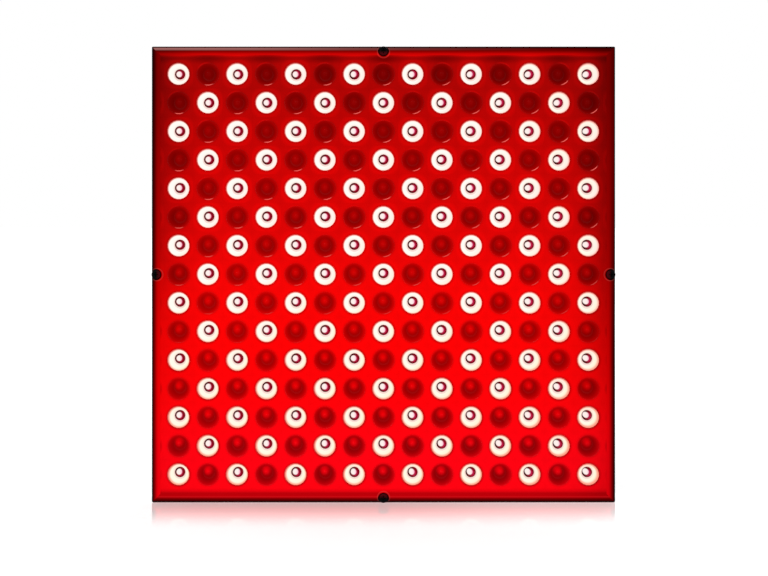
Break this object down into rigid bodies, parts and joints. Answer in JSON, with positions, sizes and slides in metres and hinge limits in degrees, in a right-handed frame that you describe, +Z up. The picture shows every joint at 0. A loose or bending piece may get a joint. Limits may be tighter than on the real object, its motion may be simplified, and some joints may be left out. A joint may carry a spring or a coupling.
{
  "type": "red light therapy panel",
  "caption": "Square slim red light therapy panel: a rimmed front plate with a grid of LED reflector cups on a black housing with driver, rocker switch, mains inlet and hanging rings.",
  "frame": {"origin": "on the surface the panel stands on, midway across its width and its overall depth", "axes": "+X to the viewer's right facing the LEDs, -Y the way the LEDs shine, +Z up"},
  "size_m": [0.31, 0.034, 0.305],
  "materials": {
    "front_plate_red": "glossy moulded plastic, lit red by its own lamps",
    "housing_black": "fine satin moulded plastic",
    "led_board_white": "white solder-masked board with its LED bodies",
    "led_lit": "LED dome, lit, pinkish white",
    "led_dark": "LED dome, unlit to the eye",
    "cup_reflector": "bright reflector cup wall",
    "aluminium_sheet": "plain aluminium",
    "insulating_sheet": "thin insulating film",
    "circuit_board_green": "green solder-masked board",
    "ferrite": "dull ferrite core and taped winding",
    "capacitor_can": "sleeved aluminium can",
    "copper_winding": "enamelled copper winding",
    "fuse_glass": "glass tube fuse",
    "terminal_green": "terminal block",
    "socket_black": "satin moulded plastic",
    "pin_brass": "plated brass",
    "switch_black": "satin moulded plastic",
    "rocker_black": "semi-gloss moulded plastic",
    "screw_black": "black-coated steel",
    "screw_steel": "zinc-plated steel",
    "hanger_steel": "nickel-plated steel",
    "wire_brown": "insulated wire",
    "wire_blue": "insulated wire",
    "wire_red": "insulated wire",
    "wire_black": "insulated wire"
  },
  "bodies": {
    "panel": {"front_panel": "front_plate_red", "rear_housing": "housing_black", "heat_spreader": "aluminium_sheet", "insulating_sheet": "insulating_sheet", "driver_board": "circuit_board_green", "transformer": "ferrite", "driver_heatsink": "aluminium_sheet", "input_capacitor": "capacitor_can", "output_capacitor": "capacitor_can", "input_choke": "copper_winding", "input_fuse": "fuse_glass", "input_terminal": "terminal_green", "output_terminal": "terminal_green", "inlet_socket": "socket_black", "inlet_pin_live": "pin_brass", "inlet_pin_neutral": "pin_brass", "switch_frame": "switch_black", "live_wire": "wire_brown", "switched_wire": "wire_brown", "neutral_wire": "wire_blue", "led_wire_positive": "wire_red", "led_wire_negative": "wire_black", "led_strip_01": "led_board_white", "led_strip_02": "led_board_white", "led_strip_03": "led_board_white", "led_strip_04": "led_board_white", "led_strip_05": "led_board_white", "led_strip_06": "led_board_white", "led_strip_07": "led_board_white", "led_strip_08": "led_board_white", "led_strip_09": "led_board_white", "led_strip_10": "led_board_white", "led_strip_11": "led_board_white", "led_strip_12": "led_board_white", "led_strip_13": "led_board_white", "led_strip_14": "led_board_white", "led_strip_15": "led_board_white", "front_screw_top": "screw_black", "front_screw_bottom": "screw_black", "front_screw_left": "screw_black", "front_screw_right": "screw_black", "spreader_screw_1": "screw_steel", "spreader_screw_2": "screw_steel", "spreader_screw_3": "screw_steel", "spreader_screw_4": "screw_steel", "hanger_plate_top_left": "hanger_steel", "hanger_screw_top_left": "screw_black", "hanger_plate_bottom_left": "hanger_steel", "hanger_screw_bottom_left": "screw_black", "hanger_plate_top_right": "hanger_steel", "hanger_screw_top_right": "screw_black", "hanger_plate_bottom_right": "hanger_steel", "hanger_screw_bottom_right": "screw_black"},
    "switch_rocker": {"switch_rocker": "rocker_black"},
    "hanger_ring_top_left": {"hanger_ring_top_left": "hanger_steel"},
    "hanger_ring_bottom_left": {"hanger_ring_bottom_left": "hanger_steel"},
    "hanger_ring_top_right": {"hanger_ring_top_right": "hanger_steel"},
    "hanger_ring_bottom_right": {"hanger_ring_bottom_right": "hanger_steel"}
  },
  "joints": [
    {"name": "power_rocker", "type": "hinge", "parent": "panel", "child": "switch_rocker", "pos_m": [0.06, 0.01087, 0.1725], "axis": [1, 0, 0], "range_deg": [-14, 0]},
    {"name": "hanger_ring_top_left_swing", "type": "hinge", "parent": "panel", "child": "hanger_ring_top_left", "pos_m": [-0.118, 0.01187, 0.2545], "axis": [1, 0, 0], "range_deg": [0, 175]},
    {"name": "hanger_ring_bottom_left_swing", "type": "hinge", "parent": "panel", "child": "hanger_ring_bottom_left", "pos_m": [-0.118, 0.01187, 0.0305], "axis": [1, 0, 0], "range_deg": [0, 175]},
    {"name": "hanger_ring_top_right_swing", "type": "hinge", "parent": "panel", "child": "hanger_ring_top_right", "pos_m": [0.118, 0.01187, 0.2545], "axis": [1, 0, 0], "range_deg": [0, 175]},
    {"name": "hanger_ring_bottom_right_swing", "type": "hinge", "parent": "panel", "child": "hanger_ring_bottom_right", "pos_m": [0.118, 0.01187, 0.0305], "axis": [1, 0, 0], "range_deg": [0, 175]}
  ]
}
